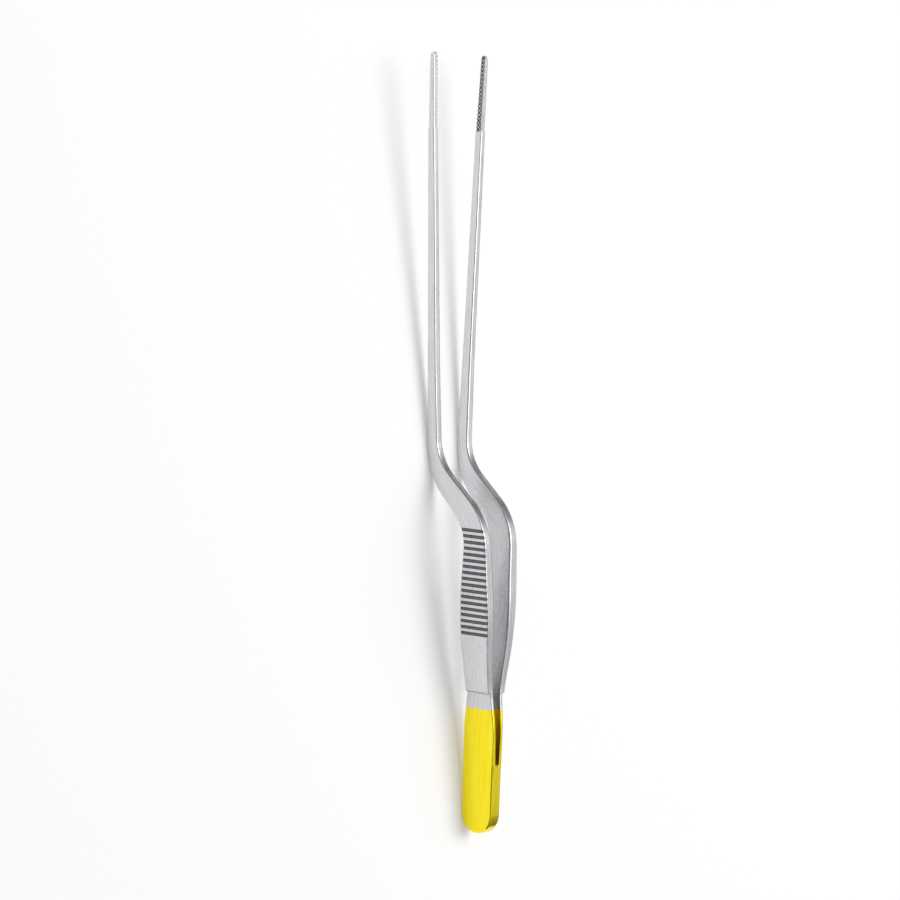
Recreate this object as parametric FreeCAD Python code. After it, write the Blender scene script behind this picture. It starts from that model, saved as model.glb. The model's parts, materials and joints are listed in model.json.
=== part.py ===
import FreeCAD, Part

import math
import os

# Bayonet tissue forceps with carbide jaws: two mirror-image forged halves, welded together at the heel.
# Each half is first drawn level: X is the distance from the mirror plane, Y runs from the heel end to
# the tip, and Z runs across the width, with the bayonet step going down. All sizes are in millimetres.

# Lengths along a half, one after the other from the heel end
WELD_LENGTH = 16.4          # heel, where the halves are joined
SPRING_LENGTH = 17.0        # slit to the thickness step, the part that flexes
GRIP_LENGTH = 39.2          # step to the bayonet bend, along the lower edge
BEND_TO_WAIST = 37.4        # start of the bend to the narrowing of the blade
WAIST_TO_JAW = 56.0         # narrowing of the blade to the jaw shoulder
JAW_LENGTH = 18.0           # shoulder to tip, the length of the insert
PLATED_LENGTH = 29.7        # gold-plated end, measured from the heel end

# Opening at rest, and the gap from each inner face to the mirror plane when the jaws are shut
TIP_OPENING = 16.5          # between the insert faces at the tips
SPRING_RELIEF = 0.28
GRIP_START_RELIEF = 0.88
GRIP_MIDDLE_RELIEF = 0.6
GRIP_END_RELIEF = 0.75
BLADE_RELIEF = 0.55
JAW_RELIEF = 0.12

# Thickness of a half, square to the mirror plane
HEEL_THICKNESS = 1.65
SPRING_THICKNESS = 0.98
STEP_THICKNESS = 1.75
GRIP_START_THICKNESS = 2.15
GRIP_MIDDLE_THICKNESS = 2.72
GRIP_END_THICKNESS = 2.25
BLADE_THICKNESS = 1.98
JAW_THICKNESS = 1.6         # with the insert
TIP_THICKNESS = 1.2         # with the insert
HEEL_FLAT = 23.0            # length of the flat heel cheek
GRIP_START = 11.3           # beyond the step
GRIP_MIDDLE = 26.0          # beyond the step, the thickest place

# Slit between the halves, at its closed end
SLIT_WIDTH = 1.2
SLIT_ROUND = 0.5            # its inner corners

# Widths of a half
HEEL_WIDTH = 9.6
NECK_WIDTH = 7.44
GRIP_WIDTH = 9.24           # where the slopes of the two sides would meet
BEND_WIDTH = 6.48           # handle where the bend starts
ROOT_WIDTH = 3.3            # blade where the bend ends
WAIST_WIDTH = 2.65
BLADE_END_WIDTH = 2.0       # blade at the jaw shoulder
JAW_WIDTH = 1.64            # jaw at its shoulder
TIP_WIDTH = 1.3
HEEL_STRAIGHT = 25.5        # length of the heel's full width
NECK_AT = 0.8               # beyond the step
GRIP_WIDEST = 18.3          # beyond the step

# Bayonet bend, seen from the side
BLADE_DROP = 15.63          # handle's centre line down to the blade's lower edge
BLADE_SLOPE = 0.58          # degrees, by which the blade's lower edge runs on downwards
LOWER_BEND_ANGLE = 47.0     # degrees
UPPER_BEND_ANGLE = 50.2     # degrees
UPPER_BEND_LAG = 2.3        # the upper edge turns this much further on
LOWER_START_ROUND = 11.0
LOWER_END_ROUND = 16.0
UPPER_START_ROUND = 16.0
UPPER_END_ROUND = 11.5

# Rounds where straight stretches meet
HEEL_TAPER_ROUND = 50.0
NECK_ROUND = 25.0
GRIP_ROUND = 70.0
WAIST_ROUND = 300.0
SIDE_ROUND = 40.0           # inner and outer faces
STEP_RUN = 0.5              # ramp at the thickness step
TIP_ROUND = 0.6             # tip seen from the side
TIP_BACK_ROUND = 1.0        # outer corner of the tip

# Grip grooves across the outer face
GROOVE_COUNT = 18
GROOVE_PITCH = 1.44
GROOVE_DEPTH = 0.3
GROOVE_WIDTH = 0.8
GROOVE_START = 0.45         # last groove, before the start of the bend

# Brazed inserts, and the crossed cuts on their faces
INSERT_THICKNESS = 0.5
INSERT_MARGIN = 0.1         # bare steel of the seat along each edge
CUT_PITCH = 0.7
CUT_DEPTH = 0.15
CUT_ANGLE = 45.0            # degrees to the length of the jaw

# Finish of the heel end
PLATING = 0.08
WELD_DEPTH = 0.5

# Places along a half
STEP = WELD_LENGTH + SPRING_LENGTH
BEND = STEP + GRIP_LENGTH
WAIST = BEND + BEND_TO_WAIST
SHOULDER = WAIST + WAIST_TO_JAW
LENGTH = SHOULDER + JAW_LENGTH
CLOSING = math.atan2(TIP_OPENING / 2, LENGTH - WELD_LENGTH)
FAR = 60.0                  # beyond every outline

Vector = FreeCAD.Vector
OUT = Vector(1, 0, 0)
UP = Vector(0, 0, 1)
SLIT_ROOT = Vector(0, WELD_LENGTH, 0)


def rounded_face(corners):
    """Flat face from corners, each a point and a radius, with tangent arcs in the rounded ones."""
    starts = []
    middles = []
    ends = []
    for index, (corner, radius) in enumerate(corners):
        back = (corners[index - 1][0] - corner).normalize()
        ahead = (corners[(index + 1) % len(corners)][0] - corner).normalize()
        half_angle = back.getAngle(ahead) / 2
        reach = radius / math.tan(half_angle)
        starts.append(corner + back * reach)
        ends.append(corner + ahead * reach)
        depth = radius / math.sin(half_angle) - radius
        middles.append(corner + (back + ahead) * (depth / (2 * math.cos(half_angle))))
    edges = []
    for index, (corner, radius) in enumerate(corners):
        if ends[index - 1].distanceToPoint(starts[index]) > 1e-6:
            edges.append(Part.LineSegment(ends[index - 1], starts[index]).toShape())
        if radius > 0:
            edges.append(Part.Arc(starts[index], middles[index], ends[index]).toShape())
    return Part.Face(Part.Wire(edges))


def sweep_width(face):
    """Solid that carries an outline seen along the width right across the half."""
    face.translate(UP * -FAR)
    return face.extrude(UP * (2 * FAR))


def closing_line(y):
    """Distance from the mirror plane of a face that would meet its twin when the jaws shut."""
    return (y - WELD_LENGTH) * math.tan(CLOSING)


def inner_corner(y, relief):
    """Point that stays clear of the mirror plane by relief when the jaws are shut."""
    return Vector(closing_line(y) + relief, y, 0)


def handle_half_width(y):
    """Half width on the slope from the widest place of the grip to the bend."""
    widest = STEP + GRIP_WIDEST
    slope = (BEND_WIDTH - GRIP_WIDTH) / 2 / (BEND - widest)
    return GRIP_WIDTH / 2 + slope * (y - widest)


def blade_lower_edge(y):
    """Height of the blade's lower edge, which runs straight from the bend to the shoulder."""
    return -BLADE_DROP - (y - BEND) * math.tan(math.radians(BLADE_SLOPE))


def bend_corners():
    """Corners of the bend: start and end on the lower edge, start and end on the upper edge."""
    fall = math.tan(math.radians(BLADE_SLOPE))
    lower_start = Vector(0, BEND, -handle_half_width(BEND))
    lower_fall = lower_start.z - blade_lower_edge(BEND)
    lower_end_y = BEND + lower_fall / (math.tan(math.radians(LOWER_BEND_ANGLE)) - fall)
    lower_end = Vector(0, lower_end_y, blade_lower_edge(lower_end_y))
    upper_y = BEND + UPPER_BEND_LAG
    upper_start = Vector(0, upper_y, handle_half_width(upper_y))
    upper_fall = upper_start.z - blade_lower_edge(upper_y) - ROOT_WIDTH
    upper_end_y = upper_y + upper_fall / (math.tan(math.radians(UPPER_BEND_ANGLE)) - fall)
    upper_end = Vector(0, upper_end_y, blade_lower_edge(upper_end_y) + ROOT_WIDTH)
    return lower_start, lower_end, upper_start, upper_end


def jaw_corners(margin):
    """Side outline of the jaw from its shoulder round the tip, narrower by margin on each edge."""
    shoulder = Vector(0, SHOULDER, blade_lower_edge(SHOULDER) + BLADE_END_WIDTH / 2)
    tip = shoulder + Vector(0, JAW_LENGTH, 0)
    jaw = UP * (JAW_WIDTH / 2 - margin)
    end = UP * (TIP_WIDTH / 2 - margin)
    tip_round = TIP_ROUND - margin
    return [(shoulder - jaw, 0), (tip - end, tip_round), (tip + end, tip_round), (shoulder + jaw, 0)]


def side_face(inset):
    """Outline seen from the side: heel, neck, grip, bayonet bend, blade and jaw."""
    lower_start, lower_end, upper_start, upper_end = bend_corners()
    heel = HEEL_WIDTH / 2 - inset
    heel_taper = Vector(0, HEEL_STRAIGHT, heel)
    neck = Vector(0, STEP + NECK_AT, NECK_WIDTH / 2 - inset)
    widest = Vector(0, STEP + GRIP_WIDEST, GRIP_WIDTH / 2)
    blade_end = Vector(0, SHOULDER, blade_lower_edge(SHOULDER))
    waist = Vector(0, WAIST, blade_lower_edge(WAIST) + WAIST_WIDTH)
    lower = [
        (Vector(0, inset, heel), heel),
        (Vector(0, inset, -heel), heel),
        (heel_taper - UP * (2 * heel_taper.z), HEEL_TAPER_ROUND),
        (neck - UP * (2 * neck.z), NECK_ROUND),
        (widest - UP * (2 * widest.z), GRIP_ROUND),
        (lower_start, LOWER_START_ROUND),
        (lower_end, LOWER_END_ROUND),
        (blade_end, 0),
    ]
    upper = [
        (blade_end + UP * BLADE_END_WIDTH, 0),
        (waist, WAIST_ROUND),
        (upper_end, UPPER_END_ROUND),
        (upper_start, UPPER_START_ROUND),
        (widest, GRIP_ROUND),
        (neck, NECK_ROUND),
        (heel_taper, HEEL_TAPER_ROUND),
    ]
    return rounded_face(lower + jaw_corners(0) + upper)


def plan_face(inset):
    """Outline seen along the mirror plane: inner and outer face of a half, with the insert."""
    slit_bottom = SLIT_ROOT - Vector(0, inset, 0)
    step = inner_corner(STEP, SPRING_RELIEF)
    grip_start = inner_corner(STEP + GRIP_START, GRIP_START_RELIEF)
    grip_middle = inner_corner(STEP + GRIP_MIDDLE, GRIP_MIDDLE_RELIEF)
    grip_end = inner_corner(BEND, GRIP_END_RELIEF)
    blade = inner_corner(bend_corners()[3].y, BLADE_RELIEF)
    cheek = HEEL_THICKNESS - inset
    corners = [
        (Vector(0, inset, 0), 0),
        (slit_bottom, 0),
        (slit_bottom + OUT * (SLIT_WIDTH / 2 + inset), SLIT_ROUND + inset),
        (step + OUT * inset, SIDE_ROUND),
        (grip_start, SIDE_ROUND),
        (grip_middle, SIDE_ROUND),
        (grip_end, SIDE_ROUND),
        (blade, SIDE_ROUND),
        (inner_corner(SHOULDER, JAW_RELIEF), 0),
        (inner_corner(SHOULDER, 0), 0),
        (inner_corner(LENGTH, 0), 0),
        (inner_corner(LENGTH, TIP_THICKNESS), TIP_BACK_ROUND),
        (inner_corner(SHOULDER, JAW_THICKNESS), SIDE_ROUND),
        (blade + OUT * BLADE_THICKNESS, SIDE_ROUND),
        (grip_end + OUT * GRIP_END_THICKNESS, SIDE_ROUND),
        (grip_middle + OUT * GRIP_MIDDLE_THICKNESS, SIDE_ROUND),
        (grip_start + OUT * GRIP_START_THICKNESS, SIDE_ROUND),
        (step + Vector(STEP_THICKNESS, STEP_RUN, 0), 0),
        (step + OUT * (SPRING_THICKNESS - inset), 0),
        (Vector(cheek, HEEL_FLAT, 0), SIDE_ROUND),
        (Vector(cheek, inset, 0), 0),
    ]
    return rounded_face(corners)


def half_blank(inset):
    """Half with its insert in place: the two outlines crossed, smaller by inset at the plated end."""
    side = side_face(inset).extrude(OUT * FAR)
    return sweep_width(plan_face(inset)).common(side)


def outer_face_at(y):
    """Distance from the mirror plane to the outer face of the grip, on its straight stretches."""
    middle = inner_corner(STEP + GRIP_MIDDLE, GRIP_MIDDLE_RELIEF + GRIP_MIDDLE_THICKNESS)
    if y > middle.y:
        other = inner_corner(BEND, GRIP_END_RELIEF + GRIP_END_THICKNESS)
    else:
        other = inner_corner(STEP + GRIP_START, GRIP_START_RELIEF + GRIP_START_THICKNESS)
    return middle.x + (other.x - middle.x) * (y - middle.y) / (other.y - middle.y)


def grip_grooves():
    """Round-bottomed grooves that cross the outer face of the grip from edge to edge."""
    radius = (GROOVE_WIDTH ** 2 / 4 + GROOVE_DEPTH ** 2) / (2 * GROOVE_DEPTH)
    grooves = []
    for number in range(GROOVE_COUNT):
        y = BEND - GROOVE_START - number * GROOVE_PITCH
        base = Vector(outer_face_at(y) + radius - GROOVE_DEPTH, y, -FAR)
        grooves.append(Part.makeCylinder(radius, 2 * FAR, base, UP))
    return Part.makeCompound(grooves)


def insert_space():
    """Everything on the inner side of the insert seat, beyond the jaw shoulder."""
    corners = [
        (inner_corner(SHOULDER, -FAR), 0),
        (inner_corner(SHOULDER, INSERT_THICKNESS), 0),
        (inner_corner(LENGTH + FAR, INSERT_THICKNESS), 0),
        (inner_corner(LENGTH + FAR, -FAR), 0),
    ]
    return sweep_width(rounded_face(corners))


def crossed_cuts():
    """V cuts in both slanting directions, for a face that lies in the mirror plane."""
    angle = math.radians(CUT_ANGLE)
    spacing = CUT_PITCH / math.sin(angle)
    middle_z = blade_lower_edge(SHOULDER) + BLADE_END_WIDTH / 2
    cuts = []
    for number in range(int(JAW_LENGTH / spacing)):
        for turn in (angle, -angle):
            along = Vector(0, math.cos(turn), math.sin(turn))
            across = Vector(0, -math.sin(turn), math.cos(turn))
            centre = Vector(0, SHOULDER + (number + 0.5) * spacing, middle_z) - along * JAW_WIDTH
            corners = [
                (centre + OUT * CUT_DEPTH, 0),
                (centre - OUT * CUT_DEPTH + across * (2 * CUT_DEPTH), 0),
                (centre - OUT * CUT_DEPTH - across * (2 * CUT_DEPTH), 0),
            ]
            cuts.append(rounded_face(corners).extrude(along * (2 * JAW_WIDTH)))
    return Part.makeCompound(cuts)


def make_insert(blank):
    """Carbide plate on the jaw's inner side, with a cross-cut face."""
    outline = rounded_face(jaw_corners(INSERT_MARGIN)).extrude(OUT * FAR)
    insert = blank.common(insert_space()).common(outline)
    insert.rotate(SLIT_ROOT, UP, math.degrees(CLOSING))
    insert = insert.cut(crossed_cuts())
    insert.rotate(SLIT_ROOT, UP, -math.degrees(CLOSING))
    return insert


def heel_outline(distance, inset):
    """Outline of the welded heel at a distance from the mirror plane, smaller by inset."""
    half_width = HEEL_WIDTH / 2 - inset
    corners = [
        (Vector(distance, WELD_LENGTH, half_width), 0),
        (Vector(distance, inset, half_width), half_width),
        (Vector(distance, inset, -half_width), half_width),
        (Vector(distance, WELD_LENGTH, -half_width), 0),
    ]
    return rounded_face(corners)


def weld_groove():
    """One half of the V groove round the joint of the heel."""
    rim = heel_outline(0, 0).extrude(OUT * WELD_DEPTH)
    core = Part.makeLoft([heel_outline(0, WELD_DEPTH).OuterWire, heel_outline(WELD_DEPTH, 0).OuterWire],
                         True, True)
    return rim.cut(core)


def make_plating(blank, groove):
    """Gold skin on the cheek, round the edges and in the slit of the heel end."""
    end = Part.makeBox(FAR, PLATED_LENGTH, 2 * FAR, Vector(0, 0, -FAR))
    return blank.common(end).cut(half_blank(PLATING)).cut(groove)


def make_half():
    """The arm of the right half with its plating and insert."""
    blank = half_blank(0)
    groove = weld_groove()
    plating = make_plating(blank, groove)
    insert = make_insert(blank)
    arm = blank.cut(plating).cut(groove).cut(insert_space()).cut(grip_grooves())
    return {"arm": arm, "plating": plating, "jaw_insert": insert}


def mirrored(shape):
    """The same shape on the other side of the mirror plane."""
    return shape.mirror(Vector(0, 0, 0), OUT)


def make_weld():
    """Weld bead that fills the groove on both sides, ground flush."""
    groove = weld_groove()
    return groove.fuse(mirrored(groove)).removeSplitter()


def resting_angle():
    """Angle in degrees that lays the heel and the bend's lowest place on one level."""
    heel_round = HEEL_WIDTH / 2
    lower_end = bend_corners()[1]
    fall = math.radians(BLADE_SLOPE)
    reach = LOWER_END_ROUND * math.tan((math.radians(LOWER_BEND_ANGLE) - fall) / 2)
    centre_y = lower_end.y + reach * math.cos(fall) + LOWER_END_ROUND * math.sin(fall)
    centre_z = lower_end.z - reach * math.sin(fall) + LOWER_END_ROUND * math.cos(fall)
    run = centre_y - heel_round
    tangent = math.asin((LOWER_END_ROUND - heel_round) / math.hypot(run, centre_z))
    return math.degrees(tangent - math.atan2(centre_z, run))


def main():
    nodes = {"heel_weld": make_weld()}
    for name, shape in make_half().items():
        nodes["right_" + name] = shape
        nodes["left_" + name] = mirrored(shape)
    turn = FreeCAD.Rotation(OUT, resting_angle())
    lowest = (turn.multVec(Vector(0, HEEL_WIDTH / 2, 0))).z - HEEL_WIDTH / 2
    whole = Part.makeCompound(list(nodes.values()))
    whole.rotate(Vector(0, 0, 0), OUT, resting_angle())
    box = whole.optimalBoundingBox(True, False)
    middle = (box.YMin + box.YMax) / 2
    print("rests at", round(resting_angle(), 4), "degrees, moved", round(-middle, 4), round(-lowest, 4))
    os.makedirs("parts", exist_ok=True)
    for name, shape in nodes.items():
        shape.rotate(Vector(0, 0, 0), OUT, resting_angle())
        shape.translate(Vector(0, -middle, -lowest))
        shape.exportStep("parts/" + name + ".step")
        print(name, shape.isValid(), len(shape.Solids), round(shape.Volume, 3), shape.BoundBox)


main()
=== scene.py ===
import json
import math

import bmesh
import bpy
from mathutils import Matrix, Vector


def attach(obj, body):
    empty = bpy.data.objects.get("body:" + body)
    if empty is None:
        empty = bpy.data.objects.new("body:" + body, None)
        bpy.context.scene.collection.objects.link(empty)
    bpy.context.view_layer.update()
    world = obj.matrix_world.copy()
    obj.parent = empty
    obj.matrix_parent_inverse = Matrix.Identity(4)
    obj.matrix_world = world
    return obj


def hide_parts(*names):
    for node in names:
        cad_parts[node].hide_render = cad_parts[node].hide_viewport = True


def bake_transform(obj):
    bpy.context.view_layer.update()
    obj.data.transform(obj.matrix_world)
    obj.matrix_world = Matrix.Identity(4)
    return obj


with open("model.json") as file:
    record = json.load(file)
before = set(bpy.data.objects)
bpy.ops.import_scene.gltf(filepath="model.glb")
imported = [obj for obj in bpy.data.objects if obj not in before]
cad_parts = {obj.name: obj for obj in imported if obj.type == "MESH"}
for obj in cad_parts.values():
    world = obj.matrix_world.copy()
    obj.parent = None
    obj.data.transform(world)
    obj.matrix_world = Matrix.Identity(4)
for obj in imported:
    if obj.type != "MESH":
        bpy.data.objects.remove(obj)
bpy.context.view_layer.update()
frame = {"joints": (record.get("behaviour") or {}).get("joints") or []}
scene = bpy.context.scene


# The picture's own view: the tips point up, the left half is in front and shows its outer face, and the
# camera looks down on the forceps from beside the left half.
CAMERA_PLACE = Vector((-0.59088, -0.01815, 0.55505))
LOOKS_ALONG = Vector((0.72975, 0.02097, -0.68340))
UP_IN_PICTURE = Vector((0.02388, 0.99814, 0.05613))
FOCAL_LENGTH = 135.93       # mm
SENSOR_WIDTH = 36.0

camera = bpy.data.objects.new("camera", bpy.data.cameras.new("camera"))
scene.collection.objects.link(camera)
right_in_picture = LOOKS_ALONG.cross(UP_IN_PICTURE).normalized()
upright = right_in_picture.cross(LOOKS_ALONG).normalized()
facing = Matrix((right_in_picture, upright, -LOOKS_ALONG.normalized())).transposed()
camera.matrix_world = Matrix.Translation(CAMERA_PLACE) @ facing.to_4x4()
camera.data.lens = FOCAL_LENGTH
camera.data.sensor_width = SENSOR_WIDTH
camera.data.clip_start = 0.01
camera.data.clip_end = 20.0
scene.camera = camera


# The two halves, satin stainless steel. Each is forged in one piece from heel to tip, ground to shape and
# brushed lengthwise, with its long edges eased and polished, and grip grooves milled across its back.
# A half is built level, in millimetres: X from the mirror plane, Y from the heel end, Z across the width.
WELD_LENGTH = 16.4          # heel, where the halves are joined
HEEL_FLAT = 23.0            # flat heel cheek ends
HEEL_STRAIGHT = 25.5        # heel's full width ends
PLATED_LENGTH = 29.7
STEP = 33.4                 # spring section ends at a step in thickness
NECK_AT = 34.2
GRIP_START = 44.7
GRIP_WIDEST = 51.7
GRIP_MIDDLE = 59.4          # thickest place
BEND = 72.6                 # bayonet bend starts, on the lower edge
WAIST = 110.0               # narrowing of the blade
SHOULDER = 166.0            # jaw starts
LENGTH = 184.0
TIP_OPENING = 16.5
HEEL_WIDTH = 9.6
NECK_WIDTH = 7.44
GRIP_WIDTH = 9.24
BEND_WIDTH = 6.48
ROOT_WIDTH = 3.3            # blade where the bend ends
WAIST_WIDTH = 2.65
BLADE_END_WIDTH = 2.0
JAW_WIDTH = 1.64
TIP_WIDTH = 1.3
HEEL_THICKNESS = 1.65
STEP_THICKNESS = 1.75
JAW_THICKNESS = 1.6         # with the insert
TIP_THICKNESS = 1.2         # with the insert
JAW_RELIEF = 0.12           # gap to the mirror plane at the shoulder when the jaws are shut
BLADE_DROP = 15.63          # handle's centre line down to the blade's lower edge
BLADE_SLOPE = math.radians(0.58)
LOWER_BEND = math.radians(47.0)
UPPER_BEND = math.radians(50.2)
UPPER_BEND_LAG = 2.3        # upper edge turns this much further on
SLIT_WIDTH = 1.2            # between the halves, at the closed end
SLIT_ROUND = 0.5            # inner corners of that end
WELD_DEPTH = 0.5            # V groove round the joint of the heel
PLATING = 0.08
INSERT_THICKNESS = 0.5
STEP_RUN = 0.5              # ramp at the thickness step
JUMP = 0.004                # half the length of a sudden step in the outline

# Radii of the rounds
HEEL_ROUND = HEEL_WIDTH / 2     # heel end
HEEL_TAPER_ROUND = 50.0
NECK_ROUND = 25.0
GRIP_ROUND = 70.0
LOWER_START_ROUND = 11.0
LOWER_END_ROUND = 16.0
UPPER_START_ROUND = 16.0
UPPER_END_ROUND = 11.5
WAIST_ROUND = 300.0
SIDE_ROUND = 40.0           # inner and outer faces
STEP_ROUND = 0.25
TIP_ROUND = 0.6             # tip seen from the side
TIP_BACK_ROUND = 1.0        # outer corner of the tip


def closing_line(y):
    """Distance from the mirror plane of a face that would meet its twin when the jaws shut."""
    return (y - WELD_LENGTH) * TIP_OPENING / 2 / (LENGTH - WELD_LENGTH)


def blade_lower_edge(y):
    """Height of the blade's straight lower edge."""
    return -BLADE_DROP - (y - BEND) * math.tan(BLADE_SLOPE)


def handle_half_width(y):
    """Half width of the handle between its widest place and the bend."""
    slope = (BEND_WIDTH - GRIP_WIDTH) / 2 / (BEND - GRIP_WIDEST)
    return GRIP_WIDTH / 2 + slope * (y - GRIP_WIDEST)


def rounded_line(*corners):
    """Height along a line through corners, each a place, a height and the radius of its tangent arc."""
    def height(y):
        for before, corner, after in zip(corners, corners[1:], corners[2:]):
            rise = math.atan2(corner[1] - before[1], corner[0] - before[0])
            next_rise = math.atan2(after[1] - corner[1], after[0] - corner[0])
            radius = corner[2]
            reach = radius * abs(math.tan((next_rise - rise) / 2))
            start = corner[0] - reach * math.cos(rise)
            if start < y < corner[0] + reach * math.cos(next_rise):
                side = math.copysign(radius, next_rise - rise)
                middle = start - side * math.sin(rise)
                base = corner[1] - reach * math.sin(rise) + side * math.cos(rise)
                return base - math.copysign(math.sqrt(radius ** 2 - (y - middle) ** 2), side)
        for before, corner in zip(corners, corners[1:]):
            if y <= corner[0]:
                break
        return before[1] + (corner[1] - before[1]) * (y - before[0]) / (corner[0] - before[0])
    return height


def end_drop(distance, radius):
    """How far a rounded end has fallen back from its side at a distance from the end."""
    left = max(radius - distance, 0)
    return radius - math.sqrt(radius ** 2 - left ** 2)


upper_start = BEND + UPPER_BEND_LAG
upper_fall = handle_half_width(upper_start) - blade_lower_edge(upper_start) - ROOT_WIDTH
upper_end = upper_start + upper_fall / (math.tan(UPPER_BEND) - math.tan(BLADE_SLOPE))
lower_fall = -handle_half_width(BEND) - blade_lower_edge(BEND)
lower_end = BEND + lower_fall / (math.tan(LOWER_BEND) - math.tan(BLADE_SLOPE))
jaw_middle = blade_lower_edge(SHOULDER) + BLADE_END_WIDTH / 2

handle_edge = (
    (0, HEEL_ROUND, 0),
    (HEEL_STRAIGHT, HEEL_ROUND, HEEL_TAPER_ROUND),
    (NECK_AT, NECK_WIDTH / 2, NECK_ROUND),
    (GRIP_WIDEST, GRIP_WIDTH / 2, GRIP_ROUND),
)
upper_line = rounded_line(
    *handle_edge,
    (upper_start, handle_half_width(upper_start), UPPER_START_ROUND),
    (upper_end, blade_lower_edge(upper_end) + ROOT_WIDTH, UPPER_END_ROUND),
    (WAIST, blade_lower_edge(WAIST) + WAIST_WIDTH, WAIST_ROUND),
    (SHOULDER, jaw_middle + BLADE_END_WIDTH / 2, 0),
)
lower_line = rounded_line(
    *((y, -half_width, radius) for y, half_width, radius in handle_edge),
    (BEND, -handle_half_width(BEND), LOWER_START_ROUND),
    (lower_end, blade_lower_edge(lower_end), LOWER_END_ROUND),
    (SHOULDER, jaw_middle - BLADE_END_WIDTH / 2, 0),
)
jaw_half_width = rounded_line((SHOULDER, JAW_WIDTH / 2, 0), (LENGTH, TIP_WIDTH / 2, 0))

# Places along a half, each with its gap to the mirror plane when the jaws are shut and its thickness
profile = (
    (STEP, 0.28, 0.98),
    (GRIP_START, 0.88, 2.15),
    (GRIP_MIDDLE, 0.6, 2.72),
    (BEND, 0.75, 2.25),
    (upper_end, 0.55, 1.98),
)
inner_line = rounded_line(
    (0, SLIT_WIDTH / 2, 0),
    (WELD_LENGTH, SLIT_WIDTH / 2, 0),
    *((y, closing_line(y) + relief, SIDE_ROUND) for y, relief, thickness in profile),
    (SHOULDER, closing_line(SHOULDER) + JAW_RELIEF, 0),
)
step_relief, spring_thickness = profile[0][1:]
step_inner = closing_line(STEP) + step_relief
outer_line = rounded_line(
    (0, HEEL_THICKNESS, 0),
    (HEEL_FLAT, HEEL_THICKNESS, SIDE_ROUND),
    (STEP, step_inner + spring_thickness, STEP_ROUND),
    (STEP + STEP_RUN, step_inner + STEP_THICKNESS, STEP_ROUND),
    *((y, closing_line(y) + relief + thickness, SIDE_ROUND) for y, relief, thickness in profile[1:]),
    (SHOULDER, closing_line(SHOULDER) + JAW_THICKNESS, SIDE_ROUND),
    (LENGTH, closing_line(LENGTH) + TIP_THICKNESS, 0),
)

# Radius of the eased edges on the inner and on the outer side, at places along a half
inner_easing = rounded_line(
    (0, 0.1, 0),
    (WELD_LENGTH, 0.1, 0),
    (STEP, 0.25, 0),
    (GRIP_WIDEST, 0.45, 0),
    (BEND, 0.45, 0),
    (SHOULDER, 0.28, 0),
    (SHOULDER + JUMP, 0.04, 0),
    (LENGTH, 0.04, 0),
)
outer_easing = rounded_line(
    (0, 0.85, 0),
    (HEEL_STRAIGHT, 0.7, 0),
    (STEP, 0.3, 0),
    (BEND, 0.36, 0),
    (SHOULDER, 0.3, 0),
    (LENGTH, 0.2, 0),
)
FLANK = 0.14                # narrow band beside an eased edge
EASED_SHARE = 0.7           # of half a side, at most
FLANK_SHARE = 0.2


def section_lines(y, inset):
    """Inner, outer, lower and upper side of a half at a place along it, its edge radii and its flank."""
    if y < PLATED_LENGTH:
        slit_depth = y - WELD_LENGTH + inset
        slit_side = inner_line(y) + inset - end_drop(slit_depth, SLIT_ROUND + inset) if slit_depth > 0 else 0
        sides = [slit_side, outer_line(y) - inset, lower_line(y) + inset, upper_line(y) - inset]
    elif y < SHOULDER:
        sides = [inner_line(y), outer_line(y), lower_line(y), upper_line(y)]
    else:
        end = LENGTH - y
        half_width = jaw_half_width(y) - end_drop(end, TIP_ROUND)
        outer = outer_line(y) - end_drop(end, TIP_BACK_ROUND)
        sides = [closing_line(y) + INSERT_THICKNESS, outer, jaw_middle - half_width, jaw_middle + half_width]
    room = min(sides[1] - sides[0], sides[3] - sides[2]) / 2
    inner_radius = WELD_DEPTH if sides[0] == 0 else inner_easing(y)
    radii = [min(radius, EASED_SHARE * room) for radius in (inner_radius, outer_easing(y))]
    return sides, radii, min(FLANK, FLANK_SHARE * room)


# A section has an arc and a flanking point on either side of it at each corner, and a point halfway up each
# broad side. A spot is a side, an edge, and its distances in from the side and down from the edge, each in
# radii and in flanks.
ARC_STEPS = 7
corner_spots = [(0, 0, 1, 1)]
for number in range(ARC_STEPS + 1):
    angle = number / ARC_STEPS * math.pi / 2
    corner_spots.append((1 - math.cos(angle), 0, 1 - math.sin(angle), 0))
corner_spots.append((1, 1, 0, 0))
spots = []
for side, edge, order in ((0, 1, 1), (1, 1, -1), (1, 0, 1), (0, 0, -1)):
    spots += [(side, edge, *spot) for spot in corner_spots[::order]]
    if side == edge:
        spots.append((side, None, 0, 0, 0, 0))


def spot_place(spot, y, inset):
    """Where a spot of the section lies, at a place along the half."""
    (inner, outer, lower, upper), radii, flank = section_lines(y, inset)
    side, edge, in_radii, in_flanks, down_radii, down_flanks = spot
    if edge is None:
        return Vector(((inner, outer)[side], y, (lower + upper) / 2))
    inward = in_radii * radii[side] + in_flanks * flank
    down = down_radii * radii[side] + down_flanks * flank
    x = outer - inward if side else inner + inward
    z = upper - down if edge else lower + down
    return Vector((x, y, z))


HEEL_STEPS = 28             # facets round the heel end
MERGED = 1e-5               # points closer than this become one


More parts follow.
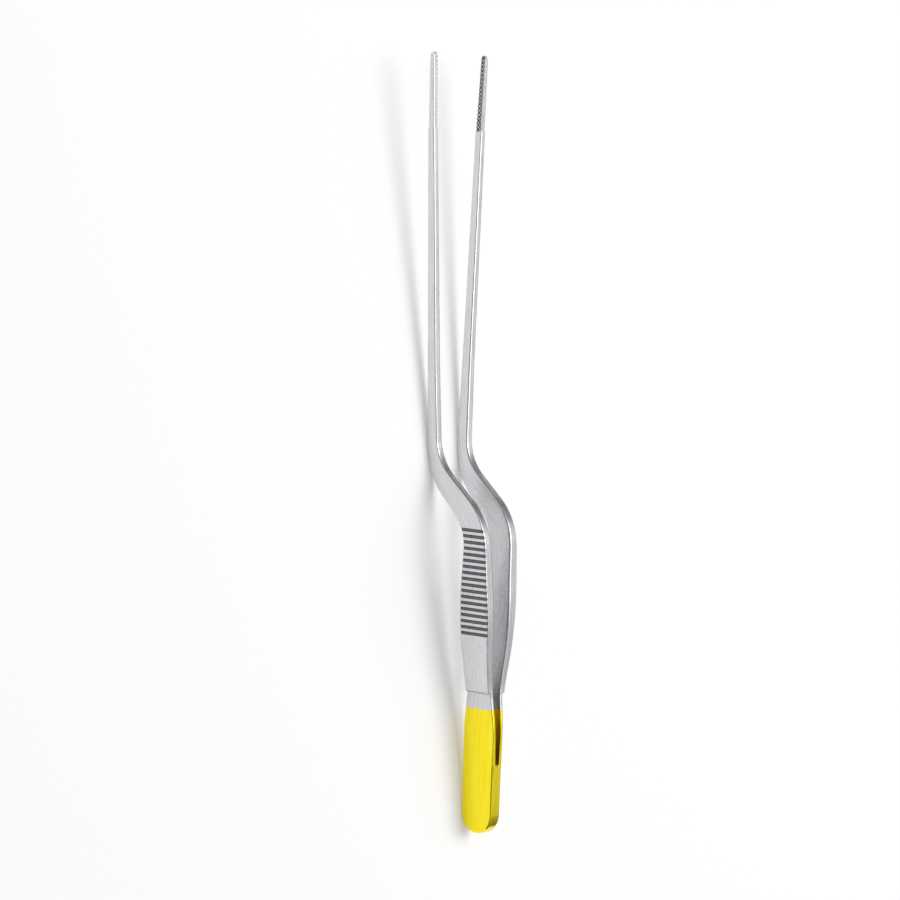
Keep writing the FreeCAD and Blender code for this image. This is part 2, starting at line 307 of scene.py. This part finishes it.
def half_shape(stations, inset):
    """A half from its round heel end through sections at the given stations, open at its far end."""
    bm = bmesh.new()
    spot_of = bm.verts.layers.int.new("spot")
    station_of = bm.verts.layers.int.new("station")
    ring = [bm.verts.new(spot_place(spot, HEEL_ROUND, inset)) for spot in spots]
    for number, vert in enumerate(ring):
        vert[spot_of] = number
        vert[station_of] = -1
    loop = [bm.edges.new((vert, ring[number - 1])) for number, vert in enumerate(ring)]
    turned = [edge for edge in loop if all(vert.co.z > -MERGED for vert in edge.verts)]
    for number, y in enumerate(stations):
        made = bmesh.ops.extrude_edge_only(bm, edges=loop)["geom"]
        for vert in made:
            if isinstance(vert, bmesh.types.BMVert):
                vert.co = spot_place(spots[vert[spot_of]], y, inset)
                vert[station_of] = number
        loop = [edge for edge in made if isinstance(edge, bmesh.types.BMEdge)]
    bmesh.ops.spin(bm, geom=turned, cent=(0, HEEL_ROUND, 0), axis=(1, 0, 0), dvec=(0, 0, 0),
                   angle=math.pi, steps=HEEL_STEPS, use_duplicate=False)
    bmesh.ops.remove_doubles(bm, verts=bm.verts, dist=MERGED)
    return bm, loop


# Grip grooves, round-bottomed, from edge to edge of the outer face
GROOVE_COUNT = 18
GROOVE_PITCH = 1.44
GROOVE_DEPTH = 0.3
GROOVE_WIDTH = 0.8
GROOVE_START = 0.45
GROOVE_RADIUS = (GROOVE_WIDTH ** 2 / 4 + GROOVE_DEPTH ** 2) / (2 * GROOVE_DEPTH)
groove_places = [BEND - GROOVE_START - number * GROOVE_PITCH for number in range(GROOVE_COUNT)]


def groove_surface(y):
    """Distance from the mirror plane to the bottom of a groove, without limit between grooves."""
    middle = min(groove_places, key=lambda place: abs(place - y))
    if abs(middle - y) >= GROOVE_WIDTH / 2:
        return math.inf
    centre = outer_line(middle) + GROOVE_RADIUS - GROOVE_DEPTH
    return centre - math.sqrt(GROOVE_RADIUS ** 2 - (y - middle) ** 2)


def spread(start, end, pitch):
    """Stations from start to end, at most a pitch apart, without the end."""
    count = math.ceil((end - start) / pitch)
    return [start + (end - start) * number / count for number in range(count)]


def plated_stations(inset):
    """Stations of the plated end, close together at the closed end of the slit."""
    bottom = WELD_LENGTH - inset
    arc = [number / ARC_STEPS * math.pi / 2 for number in range(1, ARC_STEPS + 1)]
    return [
        *spread(HEEL_ROUND + 3, bottom - JUMP, 3),
        bottom - JUMP,
        bottom + JUMP,
        *(bottom + (SLIT_ROUND + inset) * (1 - math.cos(angle)) for angle in arc),
        *spread(WELD_LENGTH + SLIT_ROUND + 0.9, PLATED_LENGTH - JUMP, 0.9),
        PLATED_LENGTH - JUMP,
    ]


# Sections lie close together where the outline turns sharply: step, grooves, bend and tip.
GROOVE_SECTIONS = (0.15, 0.4, 0.65, 0.85, 0.95, 1, 1.15)    # in half widths from a groove's middle
TIP_STEPS = 14
TIP_FLAT = 0.05             # steel ends this far before the tip of the insert
half_stations = [
    *plated_stations(PLATING),
    *spread(PLATED_LENGTH + JUMP, STEP - 0.3, 0.8),
    *spread(STEP - 0.3, STEP + 0.8, 0.05),
    *spread(STEP + 0.8, groove_places[-1] - 0.7, 0.9),
]
for place in reversed(groove_places):
    half_stations += [place - GROOVE_WIDTH / 2 * share for share in reversed(GROOVE_SECTIONS)]
    half_stations += [place + GROOVE_WIDTH / 2 * share for share in GROOVE_SECTIONS]
half_stations += [
    *spread(BEND + 0.3, upper_end + 6, 0.45),
    *spread(upper_end + 6, SHOULDER - JUMP, 2.5),
    SHOULDER - JUMP,
    *spread(SHOULDER + JUMP, LENGTH - TIP_BACK_ROUND, 2),
]
for number in range(TIP_STEPS + 1):
    share = math.sin(number / TIP_STEPS * math.pi / 2)
    half_stations.append(LENGTH - TIP_FLAT - (TIP_BACK_ROUND - TIP_FLAT) * (1 - share))

# The level shape is laid on the table by the flexing joint, which lies at the closed end of the slit.
MILLIMETRE = 0.001
flex = next(joint for joint in frame["joints"] if joint["name"] == "left_half_flex")
tilt = math.atan2(flex["axis"][1], -flex["axis"][2])
laid_down = (Matrix.Translation(Vector(flex["pos_m"])) @ Matrix.Rotation(tilt, 4, "X")
             @ Matrix.Scale(MILLIMETRE, 4) @ Matrix.Translation((0, -WELD_LENGTH, 0)))


def laid_piece(name, bm, side, sharp=math.radians(50)):
    """Turns a level shape of the right half into a piece of either half, in its place."""
    if side == "left":
        bmesh.ops.scale(bm, vec=(-1, 1, 1), verts=bm.verts)
    bmesh.ops.recalc_face_normals(bm, faces=bm.faces)
    grain = bm.verts.layers.float_vector.new("grain")
    for vert in bm.verts:
        middle = (lower_line(vert.co.y) + upper_line(vert.co.y)) / 2
        vert[grain] = vert.co - Vector((0, 0, middle))
    for face in bm.faces:
        face.smooth = True
    bmesh.ops.transform(bm, matrix=laid_down, verts=bm.verts)
    mesh = bpy.data.meshes.new(name)
    bm.to_mesh(mesh)
    bm.free()
    mesh.set_sharp_from_angle(angle=sharp)
    piece = bpy.data.objects.new(name, mesh)
    scene.collection.objects.link(piece)
    return piece


def metal(name, color, roughness):
    """A metal with its plain values on the shader's own sockets, its nodes, their links and its shader."""
    material = bpy.data.materials.new(name)
    material.use_nodes = True
    shader = material.node_tree.nodes["Principled BSDF"]
    shader.inputs["Base Color"].default_value = (*color, 1)
    shader.inputs["Metallic"].default_value = 1.0
    shader.inputs["Roughness"].default_value = roughness
    return material, material.node_tree.nodes, material.node_tree.links, shader


def grain_noise(nodes, links, scale, detail, stretch):
    """Noise in millimetres along and across a half, so that brush marks follow its bend."""
    place = nodes.new("ShaderNodeAttribute")
    place.attribute_name = "grain"
    mapping = nodes.new("ShaderNodeMapping")
    mapping.inputs["Scale"].default_value = stretch
    links.new(place.outputs["Vector"], mapping.inputs["Vector"])
    noise = nodes.new("ShaderNodeTexNoise")
    noise.inputs["Scale"].default_value = scale
    noise.inputs["Detail"].default_value = detail
    links.new(mapping.outputs["Vector"], noise.inputs["Vector"])
    return noise.outputs["Fac"]


USUAL_NOISE = (0.3, 0.7)    # nearly all noise values lie between these


def ranged(nodes, links, value, low, high):
    """A noise value spread over a range."""
    spread_out = nodes.new("ShaderNodeMapRange")
    spread_out.inputs["From Min"].default_value = USUAL_NOISE[0]
    spread_out.inputs["From Max"].default_value = USUAL_NOISE[1]
    spread_out.inputs["To Min"].default_value = low
    spread_out.inputs["To Max"].default_value = high
    links.new(value, spread_out.inputs["Value"])
    return spread_out.outputs["Result"]


def tinted(nodes, links, value, dark, light):
    """A colour between two, by a noise value."""
    ramp = nodes.new("ShaderNodeValToRGB")
    ramp.color_ramp.elements[0].position = USUAL_NOISE[0]
    ramp.color_ramp.elements[0].color = (*dark, 1)
    ramp.color_ramp.elements[1].position = USUAL_NOISE[1]
    ramp.color_ramp.elements[1].color = (*light, 1)
    links.new(value, ramp.inputs["Fac"])
    return ramp.outputs["Color"]


def bumped(nodes, links, shader, value, distance):
    """Surface relief from a noise value, with its height in metres."""
    bump = nodes.new("ShaderNodeBump")
    bump.inputs["Strength"].default_value = 1.0
    bump.inputs["Distance"].default_value = distance
    links.new(value, bump.inputs["Height"])
    links.new(bump.outputs["Normal"], shader.inputs["Normal"])


# Brush marks and soft clouds of polish, with painted shade in the grip grooves, darker towards their bottoms
steel, nodes, links, shader = metal("satin_steel", (0.66, 0.67, 0.68), 0.3)
brush = grain_noise(nodes, links, 1.0, 5, (3.5, 0.14, 3.5))
clouds = grain_noise(nodes, links, 0.12, 2, (1, 0.5, 1))
bright_steel = tinted(nodes, links, brush, (0.58, 0.59, 0.605), (0.72, 0.725, 0.73))
# Painted shade in the grooves: the steel colour darkens from a tenth of a groove's depth to a little over
# half of it.
groove_depth = nodes.new("ShaderNodeAttribute")
groove_depth.attribute_name = "groove_depth"
painted_groove_shade = nodes.new("ShaderNodeValToRGB")
painted_groove_shade.color_ramp.elements[0].position = 0.1
painted_groove_shade.color_ramp.elements[0].color = (1, 1, 1, 1)
painted_groove_shade.color_ramp.elements[1].position = 0.6
painted_groove_shade.color_ramp.elements[1].color = (0.2, 0.2, 0.205, 1)
links.new(groove_depth.outputs["Fac"], painted_groove_shade.inputs["Fac"])
steel_with_painted_shade = nodes.new("ShaderNodeVectorMath")
steel_with_painted_shade.operation = "MULTIPLY"
links.new(bright_steel, steel_with_painted_shade.inputs[0])
links.new(painted_groove_shade.outputs["Color"], steel_with_painted_shade.inputs[1])
links.new(steel_with_painted_shade.outputs["Vector"], shader.inputs["Base Color"])
streaked = nodes.new("ShaderNodeMath")
streaked.operation = "ADD"
links.new(ranged(nodes, links, brush, 0.2, 0.3), streaked.inputs[0])
links.new(ranged(nodes, links, clouds, 0.0, 0.07), streaked.inputs[1])
links.new(streaked.outputs["Value"], shader.inputs["Roughness"])
bumped(nodes, links, shader, brush, 0.0000025)

for side in ("left", "right"):
    bm, loop = half_shape(half_stations, PLATING)
    bmesh.ops.edgeloop_fill(bm, edges=loop)
    # Depth into a groove, which sets how much painted shade the steel gets there.
    depth_of = bm.verts.layers.float.new("groove_depth")
    for vert in bm.verts:
        depth = max(vert.co.x - groove_surface(vert.co.y), 0)
        vert[depth_of] = depth / GROOVE_DEPTH
        vert.co.x -= depth
    forging = laid_piece(side + "_forging", bm, side)
    forging.data.materials.append(steel)
    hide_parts(side + "_arm")
    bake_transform(forging)


# Gold plating on the heel end of each half, which marks the instrument as one with carbide jaws: a bright
# skin on the cheeks, on the edges and on the inner faces above the weld.
gold, nodes, links, shader = metal("gold_plate", (1.0, 0.83, 0.03), 0.25)
gold_brush = grain_noise(nodes, links, 1.0, 5, (2.8, 0.11, 2.8))
bright_gold = tinted(nodes, links, gold_brush, (0.93, 0.72, 0.014), (1.0, 0.87, 0.04))
links.new(bright_gold, shader.inputs["Base Color"])
links.new(ranged(nodes, links, gold_brush, 0.18, 0.28), shader.inputs["Roughness"])
bumped(nodes, links, shader, gold_brush, 0.000003)

steel_stations = plated_stations(PLATING)
for side in ("left", "right"):
    bm, loop = half_shape(plated_stations(0), 0)
    centres = {face: face.calc_center_median() for face in bm.faces}
    joined = [face for face, centre in centres.items()
              if centre.y < WELD_LENGTH - JUMP / 2 and centre.x < WELD_DEPTH]
    bmesh.ops.delete(bm, geom=joined, context="FACES")
    spot_of = bm.verts.layers.int["spot"]
    station_of = bm.verts.layers.int["station"]
    made = bmesh.ops.extrude_face_region(bm, geom=list(bm.faces), use_keep_orig=True)["geom"]
    for vert in made:
        if not isinstance(vert, bmesh.types.BMVert):
            continue
        spot = spots[vert[spot_of]]
        if vert[station_of] >= 0:
            vert.co = spot_place(spot, steel_stations[vert[station_of]], PLATING)
            continue
        outward = Vector((0, vert.co.y - HEEL_ROUND, vert.co.z))
        start = spot_place(spot, HEEL_ROUND, PLATING)
        vert.co = Vector((start.x, HEEL_ROUND, 0)) + outward.normalized() * abs(start.z)
    skin = laid_piece(side + "_gold_skin", bm, side)
    skin.data.materials.append(gold)
    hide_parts(side + "_plating")
    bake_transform(skin)


# Weld bead that joins the two halves: steel like theirs, laid in a V groove round the joint of the heel,
# ground flush and plated over together with the cheeks.
bm = bmesh.new()
bead = [bm.verts.new(place) for place in (
    (-WELD_DEPTH, HEEL_ROUND, HEEL_ROUND),
    (WELD_DEPTH, HEEL_ROUND, HEEL_ROUND),
    (0, HEEL_ROUND, HEEL_ROUND - WELD_DEPTH),
)]
near = [bm.edges.new((vert, bead[number - 1])) for number, vert in enumerate(bead)]
made = bmesh.ops.spin(bm, geom=bead + near, cent=(0, HEEL_ROUND, 0), axis=(1, 0, 0), dvec=(0, 0, 0),
                      angle=math.pi, steps=HEEL_STEPS, use_duplicate=False)["geom_last"]
far = [edge for edge in made if isinstance(edge, bmesh.types.BMEdge)]
for loop in (near, far):
    made = bmesh.ops.extrude_edge_only(bm, edges=loop)["geom"]
    run = [vert for vert in made if isinstance(vert, bmesh.types.BMVert)]
    bmesh.ops.translate(bm, verts=run, vec=(0, WELD_LENGTH - HEEL_ROUND, 0))
    bmesh.ops.edgeloop_fill(bm, edges=[edge for edge in made if isinstance(edge, bmesh.types.BMEdge)])
weld = laid_piece("heel_weld_bead", bm, "right")
weld.data.materials.append(gold)
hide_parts("heel_weld")
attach(weld, "heel")


# Jaw inserts, sintered tungsten carbide: a plate brazed into the seat of each jaw, its face ground with
# crossed V cuts that leave rows of small flat-topped diamonds.
INSERT_MARGIN = 0.1
CORNER_FACETS = 6           # of a rounded corner at the tip
CUT_PITCH = 0.7
CUT_DEPTH = 0.15
CUT_ANGLE = math.radians(45)
PLATE_SHARP = math.radians(25)
ON_FACE = 1e-6

carbide, nodes, links, shader = metal("carbide", (0.66, 0.67, 0.69), 0.34)
speckle = grain_noise(nodes, links, 9.0, 5, (1, 1, 1))
links.new(tinted(nodes, links, speckle, (0.6, 0.61, 0.63), (0.72, 0.73, 0.75)), shader.inputs["Base Color"])
links.new(ranged(nodes, links, speckle, 0.28, 0.4), shader.inputs["Roughness"])
bumped(nodes, links, shader, speckle, 0.000002)

# Walls of the V cuts: the same carbide painted nearly black as the shade inside the cuts, with a faint
# speckle.
carbide_cut_painted_shade, nodes, links, shader = metal("carbide_cut_painted_shade", (0.1, 0.1, 0.11), 0.5)
speckle = grain_noise(nodes, links, 9.0, 5, (1, 1, 1))
links.new(tinted(nodes, links, speckle, (0.07, 0.07, 0.08), (0.14, 0.14, 0.15)), shader.inputs["Base Color"])

for side in ("left", "right"):
    bm = bmesh.new()
    shoulder = JAW_WIDTH / 2 - INSERT_MARGIN
    tip = TIP_WIDTH / 2 - INSERT_MARGIN
    outline = [(SHOULDER, -shoulder), (LENGTH, -tip), (LENGTH, tip), (SHOULDER, shoulder)]
    corners = [bm.verts.new((0, y, jaw_middle + z)) for y, z in outline]
    bm.faces.new(corners)
    bmesh.ops.bevel(bm, geom=corners[1:3], offset=TIP_ROUND - INSERT_MARGIN, segments=CORNER_FACETS,
                    profile=0.5, material=-1, affect="VERTICES", clamp_overlap=True)
    made = bmesh.ops.extrude_face_region(bm, geom=list(bm.faces))["geom"]
    back = [vert for vert in made if isinstance(vert, bmesh.types.BMVert)]
    bmesh.ops.translate(bm, verts=back, vec=(INSERT_THICKNESS, 0, 0))
    spacing = CUT_PITCH / math.sin(CUT_ANGLE)
    for number in range(int((LENGTH - SHOULDER) / spacing) + 2):
        for turn in (CUT_ANGLE, -CUT_ANGLE):
            centre = (0, SHOULDER + (number + 0.5) * spacing, jaw_middle)
            face_side = [face for face in bm.faces if face.calc_center_median().x < ON_FACE]
            parts = face_side + list({edge for face in face_side for edge in face.edges})
            parts += list({vert for face in face_side for vert in face.verts})
            bmesh.ops.bisect_plane(bm, geom=parts, dist=ON_FACE, plane_co=centre,
                                   plane_no=(0, -math.sin(turn), math.cos(turn)))
    diamonds = [face for face in bm.faces if face.calc_center_median().x < ON_FACE]
    valleys = {vert for face in diamonds for vert in face.verts}
    bmesh.ops.inset_individual(bm, faces=diamonds, thickness=CUT_DEPTH, use_even_offset=True)
    bmesh.ops.translate(bm, verts=list(valleys), vec=(CUT_DEPTH, 0, 0))
    # Faces inside the cuts take the painted shade.
    for face in bm.faces:
        face.material_index = int(0 < face.calc_center_median().x < CUT_DEPTH)
    for vert in bm.verts:
        vert.co.x += closing_line(vert.co.y)
        vert.co.x = min(vert.co.x, closing_line(vert.co.y) + INSERT_THICKNESS)
    plate = laid_piece(side + "_carbide_plate", bm, side, PLATE_SHARP)
    plate.data.materials.append(carbide)
    plate.data.materials.append(carbide_cut_painted_shade)
    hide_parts(side + "_jaw_insert")
    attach(plate, side + "_half")


# Plain white table top, which keeps the shadow. It glows a little for the camera, in reflections and through
# glass only, so that it is seen as white there.
TABLE_HALF_SIZE = 3.0
floor_mesh = bpy.data.meshes.new("table_top")
bm = bmesh.new()
bmesh.ops.create_grid(bm, x_segments=1, y_segments=1, size=TABLE_HALF_SIZE)
bm.to_mesh(floor_mesh)
bm.free()
table_top = bpy.data.objects.new("table_top", floor_mesh)
scene.collection.objects.link(table_top)
white = bpy.data.materials.new("white_table")
white.use_nodes = True
nodes = white.node_tree.nodes
links = white.node_tree.links
nodes.clear()
matte = nodes.new("ShaderNodeBsdfDiffuse")
matte.inputs["Color"].default_value = (0.86, 0.86, 0.86, 1)
glow = nodes.new("ShaderNodeEmission")
glow.inputs["Strength"].default_value = 0.2
seen = nodes.new("ShaderNodeLightPath")
seen_or_mirrored = nodes.new("ShaderNodeMath")
seen_or_mirrored.operation = "MAXIMUM"
links.new(seen.outputs["Is Camera Ray"], seen_or_mirrored.inputs[0])
links.new(seen.outputs["Is Glossy Ray"], seen_or_mirrored.inputs[1])
seen_at_all = nodes.new("ShaderNodeMath")
seen_at_all.operation = "MAXIMUM"
links.new(seen_or_mirrored.outputs["Value"], seen_at_all.inputs[0])
links.new(seen.outputs["Is Transmission Ray"], seen_at_all.inputs[1])
glowing_matte = nodes.new("ShaderNodeAddShader")
links.new(matte.outputs["BSDF"], glowing_matte.inputs[0])
links.new(glow.outputs["Emission"], glowing_matte.inputs[1])
surface = nodes.new("ShaderNodeMixShader")
links.new(seen_at_all.outputs["Value"], surface.inputs["Fac"])
links.new(matte.outputs["BSDF"], surface.inputs[1])
links.new(glowing_matte.outputs["Shader"], surface.inputs[2])
output = nodes.new("ShaderNodeOutputMaterial")
links.new(surface.outputs["Shader"], output.inputs["Surface"])
floor_mesh.materials.append(white)


# Studio light: a dome that is pale overhead and dark grey at the horizon, a soft box above and a weaker one
# from the right.
world = bpy.data.worlds.new("studio")
scene.world = world
world.use_nodes = True
nodes = world.node_tree.nodes
links = world.node_tree.links
direction = nodes.new("ShaderNodeTexCoord")
split = nodes.new("ShaderNodeSeparateXYZ")
links.new(direction.outputs["Generated"], split.inputs["Vector"])
dome = nodes.new("ShaderNodeValToRGB")
dome.color_ramp.elements[0].position = 0.0
dome.color_ramp.elements[0].color = (0.1, 0.1, 0.103, 1)
dome.color_ramp.elements[1].position = 1.0
dome.color_ramp.elements[1].color = (0.55, 0.55, 0.56, 1)
links.new(split.outputs["Z"], dome.inputs["Fac"])
links.new(dome.outputs["Color"], nodes["Background"].inputs["Color"])


def soft_box(name, place, size, power):
    """A square soft box that faces the forceps."""
    lamp = bpy.data.lights.new(name, "AREA")
    lamp.shape = "SQUARE"
    lamp.size = size
    lamp.energy = power
    box = bpy.data.objects.new(name, lamp)
    box.location = place
    box.rotation_euler = (-Vector(place)).to_track_quat("-Z", "Y").to_euler()
    scene.collection.objects.link(box)


soft_box("top_box", (0.35, 0.25, 1.5), 1.0, 14.0)
soft_box("side_box", (1.02, 0.03, 0.95), 1.1, 1.3)

scene.view_settings.view_transform = "Standard"
